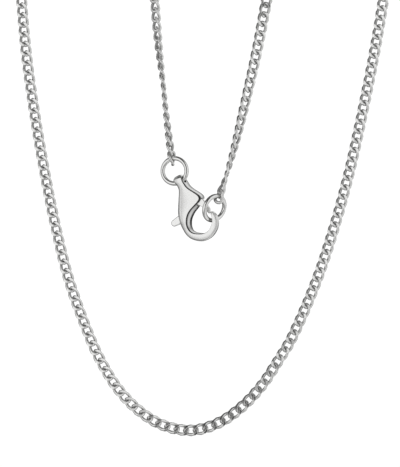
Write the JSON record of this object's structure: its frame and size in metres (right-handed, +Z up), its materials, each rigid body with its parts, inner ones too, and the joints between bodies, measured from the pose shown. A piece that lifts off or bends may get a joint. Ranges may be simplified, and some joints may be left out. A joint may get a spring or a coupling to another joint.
{
  "type": "twisted chain necklace",
  "caption": "Fine curb chain necklace hanging as a whole loop over two pegs, its ends joined by a lobster clasp with jump rings.",
  "frame": {"origin": "midway between the two pegs that the necklace hangs over, level with their tops; the mount hang_point", "axes": "+X to the right as seen from the front, +Y away from the front, +Z up"},
  "size_m": [0.0717, 0.0054, 0.1198],
  "materials": {
    "silver": "polished"
  },
  "bodies": {
    "necklace": {"chain_left": "silver", "chain_right": "silver", "end_link_left": "silver", "end_link_right": "silver", "jump_ring_left": "silver", "jump_ring_right": "silver", "clasp_body": "silver"},
    "lever": {"clasp_lever": "silver"}
  },
  "joints": [
    {"name": "lever_hinge", "type": "hinge", "parent": "necklace", "child": "lever", "pos_m": [-0.00313, 0.00008, -0.07555], "axis": [0.3877, 0.9135, 0.123], "range_deg": [0, 24], "stiffness_Nm_per_rad": 0.004, "springref_deg": -34.38}
  ]
}
